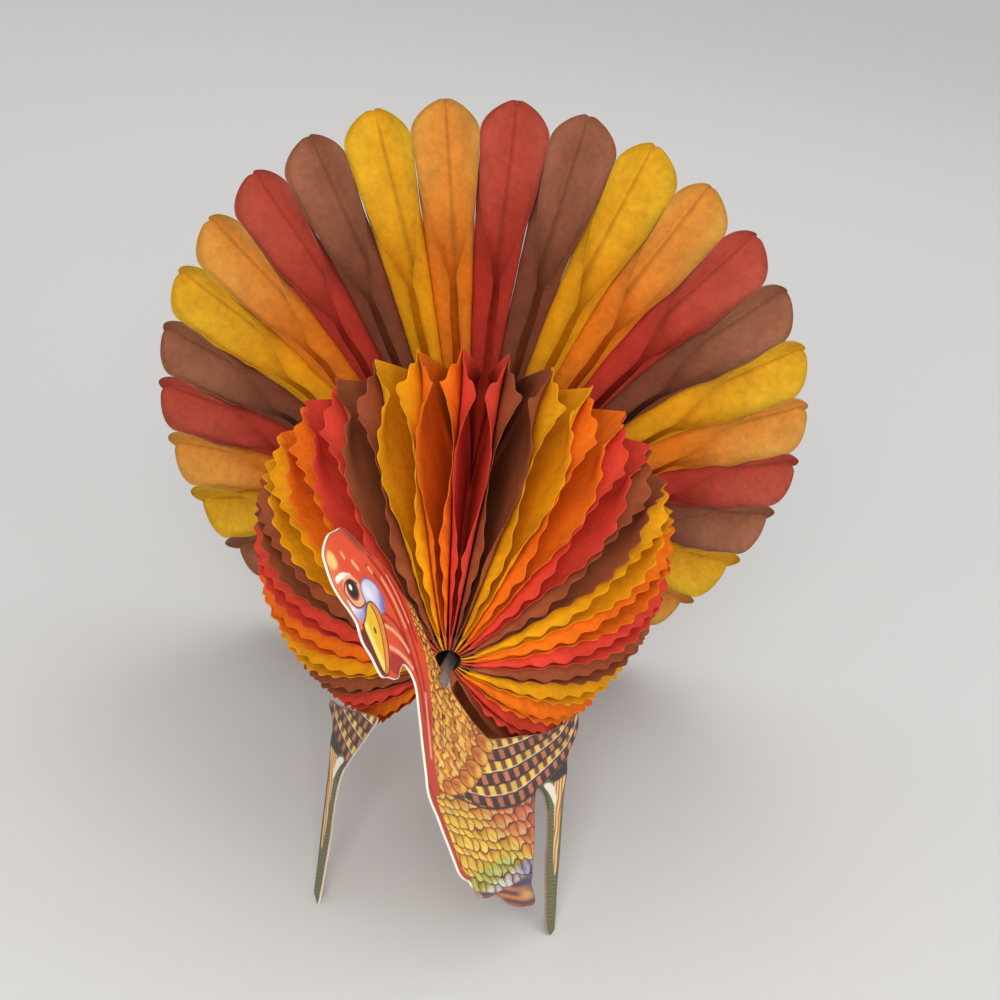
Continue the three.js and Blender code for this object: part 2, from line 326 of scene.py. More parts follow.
def lobePart(drop):
    p = petal
    place = np.linspace(0, 1, p["tipRows"] + 1)[1:]
    corner = np.clip(place / p["lobeTurn"], 0, 1) * math.pi / 2
    inward = np.clip((place - p["lobeTurn"]) / (1 - p["lobeTurn"]), 0, 1)
    top, rim, seam = p["lobeTop"], p["rim"], p["seam"]
    spread = np.where(inward > 0, top * (1 - inward), top + (1 - top) * np.cos(corner))
    high = np.array(p["tip"]) - (0, drop)
    edge = np.stack([
        rim[0] + (high[0] - rim[0]) * (1 - np.cos(corner)) + (seam[0] - high[0]) * inward,
        rim[1] + (high[1] - rim[1]) * np.sin(corner) + (seam[1] - high[1]) * inward ** 2,
    ], 1)
    rimShare = p["foldShares"][-1]
    fold = tailFold(rimShare + (1 - rimShare) * np.sin(place * math.pi / 2))
    light = p["rimLight"] + (1 - p["rimLight"]) * place
    return fold, edge, edge, spread, light, np.full(len(place), p["lobeFullness"])


def petalProfile(centre):
    # Rows from the pole over the ball, down its shoulder, out along the tail and round the lobe.
    phase = draws.uniform(0, 1)
    shift = draws.uniform(-petal["cellShift"], petal["cellShift"])
    waver = draws.uniform(0, 1)
    ball = ballPart(centre, phase, shift)
    shoulder = shoulderPart(ball[0][-1], ball[1][-1], ball[3][-1])
    lobe = lobePart(draws.uniform(0, petal["tipDrop"]))
    return [np.concatenate(values) for values in zip(ball, shoulder, tailPart(waver), lobe)]


def petalShape(row, column, index, centre, angle):
    p = petal
    firstTail = p["ballRows"] + p["shoulderRows"]
    firstTip = firstTail + p["tailRows"]
    fold, edge, plain, spread, light, fullness = (values[row] for values in petalProfile(centre))
    depth = 1 - (1 - np.abs(column) / p["columns"]) ** p["leafPower"]
    side = np.sign(column)
    spot = fold + (edge - fold) * depth[:, None]
    reach = np.linalg.norm(spot - fold, axis=1) / np.linalg.norm(plain - fold, axis=1)
    fromEdge = np.linalg.norm(plain - spot, axis=1)
    tipShare = np.clip((row - firstTip) / p["tipRows"], 0, 1)
    spot[:, 1] += tipShare * (edge[:, 1] - fold[:, 1]) * depth * (1 - depth)
    out = plain[:, 1]
    gap = np.where(row < firstTail, p["gap"], p["tailGap"])
    half = math.radians(angle / 2) - gap / 2 / out
    straight = reach * out / (fold[:, 1] + reach * (out - fold[:, 1]))
    full = 1 - (1 - np.clip(reach, 0, 1)) ** fullness
    lean = np.where(fullness > 1, full, np.minimum(straight, 1))
    curl = np.where(row < firstTail, p["curl"], p["tailCurl"])
    curl = np.minimum(curl, p["curlLimit"] * half * out)
    opened = spread + (1 - spread) * smoothStep(0, 1, fromEdge / curl) * (1 - tipShare)
    ruffle = p["ruffle"] * np.sin(row * p["ruffleStep"] + index) * (1 - opened)
    ruffle *= smoothStep(p["ruffleReach"], 0, fromEdge)
    warp = p["warp"] * np.sin(2 * np.pi * reach * p["warpWaves"]) * (1 - tipShare)
    warp *= smoothStep(firstTail - p["warpRows"], firstTail, row)
    turn = math.radians(centre) + side * half * opened * lean + (ruffle + warp) / out
    # The last leaf hangs open toward the card, which hides the hollow under the pole.
    droop = p["endDroop"] * smoothStep(*p["droopBacks"], plain[:, 0]) * (side > 0) * (index == lastPetal)
    turn += np.radians(droop) * lean
    shape = np.stack([spot[:, 1] * np.sin(turn), spot[:, 0], spot[:, 1] * np.cos(turn)], 1)
    # Painted light: in the tail and the lobes the painted paleness falls off toward the fold.
    inner = np.where(row < firstTail, 1, p["innerLight"] + (1 - p["innerLight"]) * depth)
    return shape, dict(leafDepth=depth, leafPaintedLight=light * inner)


def petalPiece(index, centre, angle, colour):
    p = petal
    rows = p["ballRows"] + p["shoulderRows"] + p["tailRows"] + p["tipRows"]
    deselectAll()
    bpy.ops.mesh.primitive_grid_add(x_subdivisions=rows - 1, y_subdivisions=2 * p["columns"], size=2)
    piece = bpy.context.object
    piece.name = piece.data.name = f"tissuePetal{index + 1:02d}"
    mesh = piece.data
    flat = readPoints(mesh)
    row = np.rint((flat[:, 0] + 1) / 2 * (rows - 1)).astype(int)
    column = np.rint(flat[:, 1] * p["columns"]).astype(int)
    shape, marks = petalShape(row, column, index, centre, angle)
    placePoints(mesh, shape)
    for label, values in marks.items():
        attribute = mesh.attributes.new(label, "FLOAT", "POINT")
        attribute.data.foreach_set("value", values.astype(np.float32))
    mesh.update()
    makeActive(piece)
    solidify = piece.modifiers.new("solidify", "SOLIDIFY")
    solidify.thickness = p["paper"] * millimetre
    solidify.offset = 0
    bpy.ops.object.modifier_apply(modifier=solidify.name)
    bpy.ops.object.shade_smooth()
    piece.data.materials.clear()
    piece.data.materials.append(tissueMaterials[colour])
    node = f"tissue_petal_{index + 1:02d}"
    body = "figure" if index == 0 else f"petal_{index + 1:02d}"
    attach(piece, body)
    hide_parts(node)
    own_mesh(piece)


edgeAngle = -sum(petalAngles) / 2
for index, angle in enumerate(petalAngles):
    colour = tissueOrder[(index - middlePetal) % len(tissueOrder)]
    petalPiece(index, edgeAngle + angle / 2, angle, colour)
    edgeAngle += angle
print(len(petalAngles), "tissue petals made")


# Printed cards: outlines in the card's own plane, toward the tail and up, in millimetres
card = dict(
    thickness=0.7, rightYaw=14.5, rightLean=32.8, rightAnchor=(-3, -16, 0),
    leftYaw=-12.2, leftLean=-20.7, leftAnchor=(-2.5, -20, 6.1),
    fine=0.3, coarse=0.6, ringStep=1.3, edgeClear=0.45, rowStep=0.866,
    border=0.24, sideBorder=0.3, borderSoft=0.3, borderColour=(250, 238, 220), borderShade=(92, 34, 22),
    board=(226, 218, 200), printStrength=0.95,
    shader={"Roughness": 0.5}, fibreSize=900, cloudSize=120, bump=0.12, bumpDepth=0.0002,
    mottle=[(0.3, (238, 236, 232)), (0.7, (255, 255, 255))],
    tab=dict(start=52, width=5.2, top=-58.3, thickness=0.6, reach=5),
)
headFront = [
    (-4, 61.4), (-8, 62.5), (-12, 61.7), (-15, 60), (-16.4, 57), (-17.5, 54), (-18.1, 50.5),
    (-17.8, 46), (-17, 42), (-16.8, 37.5), (-18, 34.6), (-18.8, 31.5), (-18.5, 27), (-18.9, 22),
    (-18.4, 19.4), (-16, 17.6), (-13.6, 15.2), (-11.6, 14.6), (-9, 15.6), (-6.4, 15.4),
]
neckFront = [
    (-5.3, 12.6), (-5.6, 9), (-7.2, 5.8), (-10, 2.6), (-13.4, -1.4), (-17, -5.4), (-20, -9),
    (-23.2, -12.8), (-26, -16), (-27.4, -19.4), (-28.2, -24), (-29.5, -29), (-30.6, -34),
    (-31.6, -38), (-32.4, -42), (-31.6, -45), (-30.2, -47),
]
breastBottom = [
    (-30, -50.5), (-29.3, -54), (-26, -57), (-22, -59.2), (-20, -62.2), (-18.3, -66),
    (-15, -70), (-11, -73.4), (-7, -76), (-4.6, -74.8), (-3, -71.2), (0, -70), (3, -68.2),
    (6.4, -66.4), (10, -64.4), (15, -61), (20, -57.6), (24.4, -55.9),
]
legInner = [
    (26, -57.2), (26.3, -60), (24, -64), (20, -67.4), (15, -70.4), (10, -73), (5, -76.4),
    (0, -80), (-4, -82.8), (-7, -85.4),
]
legOuter = [
    (-7.4, -88), (-5.6, -89.4), (-1, -87.4), (5, -84.2), (10, -81.6), (15, -79.2), (20, -76.8),
    (25, -74.2), (30, -71.6), (35, -69), (40, -66.9), (45, -65.2), (49.5, -62.4),
]
rightWingEnd = [(54, -61.9), (59, -61.9), (64, -61), (68.4, -58.4)]
rightWingTop = [
    (64.5, -56.8), (60, -55.2), (55, -53.2), (50, -51), (45, -48.6), (40, -45.6), (35, -42.2),
    (30, -38.7), (25, -35.5), (20, -32), (16, -29.2), (13.8, -27), (12.4, -23.5), (11, -19),
    (10, -14), (9.2, -9),
]
neckBack = [
    (8.8, -4), (8.8, 0), (9.2, 5), (10, 10), (11, 15), (11.6, 20), (11.9, 24), (10.7, 27.6),
    (10, 31), (9.7, 36), (8.5, 41), (6.5, 46), (4.2, 50.5), (2.2, 55), (0.2, 59), (-1.6, 60.7),
]
leftWingEnd = [(54, -61.9), (58, -62.3), (62.6, -62.8)]
leftWingTop = [
    (62, -61), (58, -58.8), (52, -55.2), (46, -50.6), (40, -46.2), (34, -41.4), (28, -37),
    (24.4, -34.6),
]
leftWingFront = [(23.2, -36), (24, -42), (25, -48), (25.8, -53)]
rightOutline = headFront + neckFront + breastBottom + legInner + legOuter + rightWingEnd
rightOutline += rightWingTop + neckBack
leftOutline = leftWingFront + legInner + legOuter + leftWingEnd + leftWingTop


def lineDistance(points, line):
    line = np.asarray(line, float)
    nearest = np.full(len(points), 1e9)
    for first, last in zip(line, line[1:]):
        run = last - first
        share = np.clip(((points - first) @ run) / max(run @ run, 1e-9), 0, 1)
        gap = points - first - share[:, None] * run
        nearest = np.minimum(nearest, np.einsum("ij,ij->i", gap, gap))
    return np.sqrt(nearest)


def insideShape(points, shape):
    shape = np.asarray(shape, float)
    inside = np.zeros(len(points), bool)
    x, y = points[:, 0], points[:, 1]
    for (x0, y0), (x1, y1) in zip(shape, np.roll(shape, -1, axis=0)):
        if y0 != y1:
            crosses = ((y0 > y) != (y1 > y)) & (x < (x1 - x0) * (y - y0) / (y1 - y0) + x0)
            inside ^= crosses
    return inside


def cutCorners(line, closed, rounds=2):
    line = np.asarray(line, float)
    for _ in range(rounds if len(line) > 2 else 0):
        after = np.roll(line, -1, axis=0) if closed else line[1:]
        before = line if closed else line[:-1]
        cut = np.stack([0.75 * before + 0.25 * after, 0.25 * before + 0.75 * after], 1)
        cut = cut.reshape(-1, 2)
        line = cut if closed else np.concatenate([line[:1], cut, line[-1:]])
    return line


def closedLine(ring):
    return np.concatenate([ring, ring[:1]])


def nearBox(points, line, reach):
    low, high = line.min(0) - reach, line.max(0) + reach
    return np.all((points > low) & (points < high), axis=1)


def softLine(distance, reach, soft):
    return np.clip(0.5 - (distance - reach) / soft, 0, 1)


def shapeMask(points, shape, soft=0.3):
    shape = cutCorners(shape, True)
    mask = np.zeros(len(points))
    near = nearBox(points, shape, soft)
    distance = lineDistance(points[near], closedLine(shape))
    distance = np.where(insideShape(points[near], shape), -distance, distance)
    mask[near] = softLine(distance, 0, soft)
    return mask


def strokeMask(points, line, width, soft=0.3):
    line = cutCorners(line, False)
    mask = np.zeros(len(points))
    near = nearBox(points, line, width + soft)
    mask[near] = softLine(lineDistance(points[near], line), width / 2, soft)
    return mask


def ovalMask(points, centre, size, tilt=0.0, soft=0.08):
    turn = math.radians(tilt)
    gap = points - np.array(centre)
    u = (gap[:, 0] * math.cos(turn) + gap[:, 1] * math.sin(turn)) / size[0]
    w = (-gap[:, 0] * math.sin(turn) + gap[:, 1] * math.cos(turn)) / size[1]
    return softLine(np.hypot(u, w), 1, 2 * soft)


def lay(colours, mask, colour):
    colours += (np.asarray(colour, float) - colours) * mask[:, None]


def blendTo(base, colour, share):
    base = np.asarray(base, float)
    return base + (np.asarray(colour, float) - base) * share[:, None]


# Printed marks, which layMarks lays down in their order
def stroke(line, width, colour, soft=0.3, share=1.0):
    return dict(mask=strokeMask, shape=(line, width, soft), colour=colour, share=share)


def oval(centre, size, tilt, colour, soft=0.08, share=1.0):
    return dict(mask=ovalMask, shape=(centre, size, tilt, soft), colour=colour, share=share)


def area(outline, colour, soft=0.3, share=1.0):
    return dict(mask=shapeMask, shape=(outline, soft), colour=colour, share=share)


def layMarks(points, colours, marks, within=1.0):
    for mark in marks:
        lay(colours, within * mark["share"] * mark["mask"](points, *mark["shape"]), mark["colour"])


def hashOf(first, second):
    # A fixed scatter from 0 to 1, one value for each scale
    value = np.sin(first * 12.9898 + second * 78.233) * 43758.5453
    return value - np.floor(value)


scales = dict(start=1.25, pointedBack=0.2, roundTip=0.62, leafPaintedLight=0.82, leafPower=1.5, length=1.87)


def scaleCells(along, across, pointed):
    # Scales in staggered rows, each row lapping over the next one down.
    lower = np.floor(along)
    upper = lower - 1
    upperAcross = across - 0.5 * np.mod(upper, 2)
    lowerAcross = across - 0.5 * np.mod(lower, 2)
    x = upperAcross - np.floor(upperAcross) - 0.5
    roundTip = scales["roundTip"] * np.sqrt(np.clip(1 - (2 * x) ** 2, 0, 1))
    leafPaintedLight = scales["leafPaintedLight"] * (1 - np.abs(2 * x) ** scales["leafPower"])
    tip = upper + scales["start"] - scales["pointedBack"] * pointed + roundTip
    tip += pointed * (leafPaintedLight - roundTip)
    covered = along < tip
    row = np.where(covered, upper, lower)
    column = np.where(covered, np.floor(upperAcross), np.floor(lowerAcross))
    place = np.where(covered, along - upper, along - lower) / scales["length"]
    middle = np.where(covered, x, lowerAcross - np.floor(lowerAcross) - 0.5)
    return row, column, place, middle, np.abs(along - tip)


def smoothOutline(outline, spacing):
    outline = np.asarray(outline, float)
    before, after = np.roll(outline, 1, axis=0), np.roll(outline, -1, axis=0)
    further = np.roll(outline, -2, axis=0)
    dense = []
    for p0, p1, p2, p3 in zip(before, outline, after, further):
        count = max(2, int(np.linalg.norm(p2 - p1) / spacing))
        for t in np.arange(count) / count:
            dense.append(0.5 * (2 * p1 + (p2 - p0) * t + (2 * p0 - 5 * p1 + 4 * p2 - p3) * t * t
                                + (3 * p1 - p0 - 3 * p2 + p3) * t ** 3))
    return np.array(dense)


def cardPlacement(anchor, yaw, lean):
    turn, tilt = math.radians(yaw), math.radians(lean)
    back = np.array([math.sin(turn), math.cos(turn), 0])
    up = np.array([-math.sin(tilt) * math.cos(turn), math.sin(tilt) * math.sin(turn), math.cos(tilt)])
    return np.array(anchor, float), back, up, np.cross(back, up)


wrinkle = dict(width=0.9, soft=0.8, share=0.9, colour=(150, 26, 18))
wrinkles = [
    [(0, 60), (4, 52), (6, 46)], [(1, 46), (3.2, 38), (3, 30), (1, 20), (-3, 8), (-10, -2)],
    [(4, 47), (6.4, 38), (6.4, 30), (4, 18), (-1, 7), (-9, -4)],
    [(-2.4, 31), (0.4, 25), (0, 18), (-3, 9)], [(8, 40), (8.6, 33), (8, 26), (5, 16)],
    [(-5.4, 31), (-3, 26.5), (-2, 20), (-2.2, 15)], [(-9.4, 21.5), (-6.6, 18), (-5, 13)],
]
gleam = dict(soft=0.8, share=0.85, colour=(252, 196, 160))
gleams = [
    ([(-7.2, 55.5), (-7, 53.6)], 0.9), ([(-4.4, 50.8), (-3.6, 47.6)], 1.2),
    ([(1.2, 45), (1.6, 43)], 1.1), ([(-5, 28.6), (-2.7, 25), (-1.3, 20), (-1.1, 16.4)], 1.3),
    ([(-8.2, 23), (-5.7, 19.4), (-4.1, 15.4), (-3.6, 12)], 1.3),
    ([(4.6, 39), (4.8, 31), (3.4, 22)], 0.8), ([(7.6, 38), (7.4, 31), (6, 22)], 0.6),
    ([(-4, 3), (-10, -3.5), (-17, -11)], 0.9),
]
brow = [(-15.6, 57.6), (-12.6, 60.2), (-10.6, 57.6), (-11.4, 53.4), (-14.8, 54.4)]
snood = [(-17.6, 35), (-15, 35), (-15.6, 27), (-17, 18), (-18.4, 20), (-18.6, 31)]
chin = [(-14, 19.5), (-9, 22), (-6.2, 17), (-6.2, 12), (-12, 15)]
head = dict(
    skin=(226, 78, 40), faceLight=(246, 150, 96), napeShade=(196, 46, 26), neckShade=(176, 46, 30),
    faceReach=(-17, -8), faceLow=34, napeReach=(2, 11), neckReach=(12, -4),
    faceShare=0.55, napeShare=0.55, neckShare=0.65,
    marks=[
        # Painted shade: a dark brown patch over the back edge of the crown
        oval((2.2, 56), (2.4, 7), 20, (110, 52, 30), 0.5, 0.7),
        *[stroke(line, **wrinkle) for line in wrinkles],
        *[stroke(line, width, **gleam) for line, width in gleams],
        area(brow, (250, 212, 120), 1.2), area(snood, (112, 30, 26), 0.4), area(chin, (178, 44, 36), 0.6),
        # Painted shade: a dark patch under the beak at the throat's edge
        oval((-8.2, 14.6), (2.6, 1.6), 0, (90, 22, 20), 0.4, 0.6),
    ],
)


def paintHead(points, colours):
    p = head
    s, v = points[:, 0], points[:, 1]
    lay(colours, np.ones(len(points)), p["skin"])
    lay(colours, p["faceShare"] * (1 - smoothStep(*p["faceReach"], s)) * (v > p["faceLow"]), p["faceLight"])
    lay(colours, p["napeShare"] * smoothStep(*p["napeReach"], s), p["napeShade"])
    lay(colours, p["neckShare"] * smoothStep(*p["neckReach"], v), p["neckShade"])
    layMarks(points, colours, p["marks"])


eye = dict(
    around=[
        stroke([(-15.2, 51.4), (-12.4, 51.2), (-9.2, 48.6)], 2.0, (255, 246, 232)),
        oval((-11, 44.4), (4.3, 5.6), 10, (246, 176, 136)),
    ],
    patch=[(-15.8, 46), (-14.6, 41.2), (-12, 39), (-8.6, 38.6), (-9.6, 36.4), (-12.6, 35), (-15.2, 36.4),
           (-16, 41)],
    patchSoft=0.4, patchPale=(240, 238, 248), patchLilac=(158, 148, 208), patchDeep=(104, 96, 168),
    lilacReach=(42, 36), deepReach=(-12.4, -9.4), deepShare=0.8,
    marks=[
        stroke([(-15, 46.6), (-14.2, 41.6), (-12, 39.3), (-8.6, 38.8)], 0.5, (88, 40, 52)),
        oval((-10.9, 45.2), (2.7, 3.5), 8, (120, 58, 38)),
        oval((-10.9, 45.4), (2.0, 2.8), 8, (34, 18, 14)),
        oval((-11.3, 46.3), (0.7, 1.0), 0, (255, 252, 246), 0.2),
        stroke([(-15, 47.2), (-12.6, 48.9), (-9.6, 48), (-7.9, 45.4)], 0.5, (70, 24, 20)),
        oval((-3.7, 38), (4.5, 6.7), 14, (104, 92, 160), 0.06),
    ],
    cheekCentre=(-3.7, 38), cheekSize=(4.0, 6.2), cheekTilt=14, cheekPale=(206, 206, 234),
    cheekDeep=(104, 92, 164), cheekSlope=(0.9, -0.75), cheekReach=(1.5, 6.5), cheekShare=0.9,
    cheekMarks=[oval((-5, 40.4), (1.6, 3), 14, (246, 246, 252), 0.5, 0.8)],
)


def paintEye(points, colours):
    p = eye
    s, v = points[:, 0], points[:, 1]
    layMarks(points, colours, p["around"])
    patch = shapeMask(points, p["patch"], p["patchSoft"])
    lay(colours, patch, p["patchPale"])
    lay(colours, patch * smoothStep(*p["lilacReach"], v), p["patchLilac"])
    lay(colours, patch * p["deepShare"] * smoothStep(*p["deepReach"], s), p["patchDeep"])
    layMarks(points, colours, p["marks"])
    cheek = ovalMask(points, p["cheekCentre"], p["cheekSize"], p["cheekTilt"])
    lay(colours, cheek, p["cheekPale"])
    slope = (points - np.array(p["cheekCentre"])) @ np.array(p["cheekSlope"])
    lay(colours, cheek * p["cheekShare"] * smoothStep(*p["cheekReach"], slope), p["cheekDeep"])
    layMarks(points, colours, p["cheekMarks"], cheek)


beak = dict(
    outline=[
        (-14.8, 35.2), (-12, 35.8), (-9.2, 37.6), (-7, 38.2), (-5.2, 36.6), (-4.6, 33), (-6, 29),
        (-8.6, 24.6), (-12, 20.8), (-15.4, 18.4), (-17, 19.8), (-16.6, 24), (-15.6, 29),
    ],
    rimWidth=0.9, rim=(34, 18, 14), horn=(240, 190, 40),
    marks=[
        stroke([(-13.4, 34.4), (-14.8, 28), (-15.6, 21)], 1.6, (255, 238, 150), 1.6),
        stroke([(-5.8, 37), (-5.6, 33.6), (-7, 29.4), (-9.6, 25), (-13, 21), (-15.6, 19)], 1.9,
               (232, 140, 58)),
        stroke([(-6.8, 37), (-6.7, 33.6), (-8.2, 29.6), (-10.8, 25.4), (-13.8, 21.8), (-16, 19.8)], 0.45,
               (120, 58, 20)),
        oval((-10.9, 30.8), (0.5, 1.0), -15, (92, 44, 16), 0.3),
    ],
)


def paintBeak(points, colours):
    p = beak
    lay(colours, strokeMask(points, closedLine(p["outline"]), p["rimWidth"]), p["rim"])
    mask = shapeMask(points, p["outline"])
    lay(colours, mask, p["horn"])
    layMarks(points, colours, p["marks"], mask)


cape = dict(
    outline=[
        (12.5, 29), (9.4, 25), (7.8, 18), (6, 11.4), (1.6, 4.6), (-3.4, -0.6), (-8.4, -5), (-13.4, -9.4),
        (-18, -14.4), (-21, -19.6), (-19, -23), (-14.5, -27), (-9, -30), (-3, -31.6), (3, -32), (9, -31.6),
        (15.5, -31), (24, -24), (18, -8), (18, 28),
    ],
    soft=0.5, centre=(12.0, 45.0), rowGrowth=1.074, columnTurn=0.058, pointed=0.45, scaleShare=0.07,
    gold=(228, 160, 42), goldDeep=(186, 76, 26), goldBright=(255, 226, 128), line=(112, 28, 14),
    lineReach=0.3, sideReach=0.2, lineSoft=0.3,
    shaftReach=0.08, shaftSoft=0.25, shaftSize=2.2, shaftShare=0.4,
    lastRow=[
        ((-18, -20), (-14.6, -27), 4.0), ((-14, -22.5), (-9, -29.4), 4.4), ((-8.5, -24), (-4, -31), 4.6),
        ((-3, -24.4), (2, -32), 5.0), ((3, -24), (8, -31.6), 5.2), ((8.4, -23), (13.6, -31), 5.0),
    ],
    lastLine=(104, 34, 16), lastShaft=(150, 76, 24), lastGleam=(252, 222, 130),
)


def capeFeather(points, colours, mask, root, tip, width):
    p = cape
    centre, run = (root + tip) / 2, tip - root
    tilt = math.degrees(math.atan2(run[1], run[0]))
    length = np.linalg.norm(run) / 2
    rim = oval(centre, (length + 0.5, width / 2 + 0.4), tilt, p["lastLine"])
    layMarks(points, colours, [rim], mask)
    body = mask * ovalMask(points, centre, (length, width / 2), tilt)
    lay(colours, body, p["gold"])
    layMarks(points, colours, [
        stroke([root, centre], width * 0.7, p["goldDeep"], 2.0, 0.7),
        stroke([root, tip - run * 0.15], 0.35, p["lastShaft"]),
        oval(centre + run * 0.22, (1.6, width * 0.22), tilt, p["lastGleam"], 0.6, 0.6),
    ], body)


def paintNeck(points, colours):
    p = cape
    s, v = points[:, 0], points[:, 1]
    gap = points - np.array(p["centre"])
    radius = np.hypot(gap[:, 0], gap[:, 1])
    sway = 0.22 * np.sin(1.1 * s + 0.7 * v) + 0.16 * np.sin(1.9 * v - 1.3 * s)
    along = np.log(np.maximum(radius, 1)) / math.log(p["rowGrowth"]) + sway
    across = np.arctan2(gap[:, 0], -gap[:, 1]) / p["columnTurn"] + 0.2 * np.sin(0.9 * v + 1.4 * s)
    row, column, place, middle, edge = scaleCells(along, across, p["pointed"])
    mask = shapeMask(points, p["outline"], p["soft"])
    feather = np.array(p["gold"]) * (0.84 + 0.22 * hashOf(row, column))[:, None]
    bright = smoothStep(0.4, 0.75, place) * smoothStep(0.45, 0.1, np.abs(middle + 0.1))
    feather = blendTo(feather, p["goldBright"], 0.6 * bright)
    shadow = np.maximum(smoothStep(0.6, 0.15, place), 0.7 * smoothStep(0.1, 0.5, middle))
    feather = blendTo(feather, p["goldDeep"], 0.9 * shadow)
    size = radius * p["scaleShare"]
    sides = softLine((0.5 - np.abs(middle)) * size, p["sideReach"], p["lineSoft"]) * (place > 0.1)
    line = np.maximum(softLine(edge * size, p["lineReach"], p["lineSoft"]), sides)
    shaft = softLine(np.abs(middle) * size, p["shaftReach"], p["shaftSoft"])
    shaft *= (place > 0.3) * (size > p["shaftSize"])
    lay(colours, mask, feather)
    lay(colours, mask * shaft * p["shaftShare"], p["goldDeep"])
    lay(colours, mask * line, p["line"])
    for root, tip, width in p["lastRow"]:
        capeFeather(points, colours, mask, np.array(root), np.array(tip), width)


wing = dict(
    edge=[(-21, -19.8), (-17, -25), (-12, -31.5), (-5, -40), (3, -46.4), (12, -51.8), (24, -56.2)],
    rest=[(25, -57), (36, -60), (50, -63), (72, -64), (90, -72), (90, -55), (40, -20), (14, -24),
          (-10, -22)],
    soft=0.35, edgeWidth=0.6, edgeColour=(74, 40, 26),
    low=[(-14, -27), (-8, -35.4), (-1, -43), (6, -48), (13, -52), (20, -54.6), (28, -56.8), (37, -59.2),
         (45, -61), (52, -62.2), (60, -62), (68, -60.4), (86, -70)],
    width=[(-14, 3.4), (0, 4.4), (10, 4.3), (20, 3.8), (30, 3.3), (43, 2.75), (52, 2.4), (62, 1.9),
           (70, 1.7)],
    period=7.4, stretch=1.08, tilt=0.3025, stagger=0.37,
    bark=(62, 36, 24), salmon=(204, 116, 84), rust=(122, 62, 30), straw=(238, 200, 84),
    line=(44, 24, 16), cream=(250, 236, 206), paleCream=(230, 200, 150), paleShare=0.35,
)
breast = dict(
    front=[(-40, -18), (-22.6, -19.4)], low=[(25.5, -57), (10, -80), (-40, -80)], soft=0.4, top=-12,
    centre=(-46.0, 22.0), rowLength=4.1, columnWidth=3.3, columnRadius=70, pointed=1.0,
    yellow=(242, 196, 48), salmon=(224, 122, 62), mauve=(176, 84, 86),
    green=(176, 186, 64), pale=(204, 214, 208), blue=(150, 148, 196),
    shade=(0.22, 0.42, 0.5), gleam=0.34, shaft=(140, 62, 24), shaftShare=0.5,
    line=(84, 32, 14), sideShare=0.7,
)
tuft = dict(
    outline=[(-30, -50), (-27, -53.4), (-22, -58.6), (-15, -62.4), (-8, -65.6), (-1, -68.6), (2, -74),
             (-8, -80), (-24, -66)],
    soft=0.5, dark=(86, 62, 74), light=(214, 120, 62), slate=(100, 88, 118),
    marks=[oval((-8, -71), (4.4, 1.6), -38, (238, 168, 84), 0.6, 0.8)],
)


def breastColours(s, v, tint):
    # Yellow to mauve across the breast, then green, pale and blue bands at its foot
    p = breast
    slant = s + 0.55 * (v + 45)
    base = blendTo(p["yellow"], p["salmon"], smoothStep(-12, 2, slant))
    base = blendTo(base, p["mauve"], smoothStep(3, 16, slant))
    low = -v - 0.42 * s
    base = blendTo(base, p["green"], smoothStep(57, 61, low) * smoothStep(4, -10, s))
    lowBand = smoothStep(63.5, 66, low) * smoothStep(10, 0, s)
    base = blendTo(base, p["pale"], lowBand)
    base = blendTo(base, p["blue"], lowBand * smoothStep(-10, 0, s))
    return base * (0.9 + 0.16 * tint[:, None])


def paintTuft(points, colours):
    p = tuft
    s, v = points[:, 0], points[:, 1]
    mask = shapeMask(points, p["outline"], p["soft"])
    across = (v + 0.85 * s) / 1.5
    streak = 0.5 + 0.5 * np.sin(across * 2.6 + 1.2 * np.sin(s * 0.4))
    left = smoothStep(-2, -14, s + 0.3 * (v + 70))[:, None]
    base = blendTo(p["dark"], p["light"], streak) * left
    base += np.array(p["slate"]) * (0.75 + 0.25 * streak[:, None]) * (1 - left)
    lay(colours, mask, base)
    layMarks(points, colours, p["marks"], mask)


def paintBreast(points, colours):
    p = breast
    s, v = points[:, 0], points[:, 1]
    gap = points - np.array(p["centre"])
    along = np.hypot(gap[:, 0], gap[:, 1]) / p["rowLength"] + 0.15 * np.sin(0.8 * s - 0.5 * v)
    across = np.arctan2(gap[:, 0], -gap[:, 1]) * p["columnRadius"] / p["columnWidth"]
    across += 0.16 * np.sin(0.7 * v + 0.9 * s)
    row, column, place, middle, edge = scaleCells(along, across, p["pointed"])
    feathers = breastColours(s, v, hashOf(row, column + 3))
    glow = smoothStep(0.4, 0.8, place) * smoothStep(0.4, 0.05, np.abs(middle + 0.15))
    feathers = feathers + (255 - feathers) * p["gleam"] * glow[:, None]
    shadow = np.maximum(smoothStep(0.55, 0.1, place), 0.75 * smoothStep(0.05, 0.5, middle))
    feathers = feathers * (1 - np.array(p["shade"]) * shadow[:, None])
    sides = softLine((0.5 - np.abs(middle)) * p["columnWidth"], 0.2, 0.3) * (place < 0.7)
    line = np.maximum(softLine(edge * p["rowLength"], 0.36, 0.34), p["sideShare"] * sides)
    shaft = softLine(np.abs(middle + 0.05) * p["columnWidth"], 0.08, 0.25) * (place > 0.5)
    lay(feathers, shaft * p["shaftShare"], p["shaft"])
    lay(feathers, line, p["line"])
    paintTuft(points, feathers)
    outline = [*p["front"], *wing["edge"][1:], *p["low"]]
    lay(colours, shapeMask(points, outline, p["soft"]) * (v < p["top"]), feathers)


throat = dict(
    line=[(-25.6, -15.4), (-27.6, -21), (-29, -29), (-31, -37), (-31.8, -42), (-30.6, -47)],
    heights=[-48, -24, -15], widths=[1.2, 2.2, 3.2], soft=0.5, low=-48, high=-14, skin=(196, 62, 40),
    creaseShift=1.6, creaseWidth=0.8, creaseSoft=0.8, creaseShare=0.6, crease=(140, 30, 24),
)


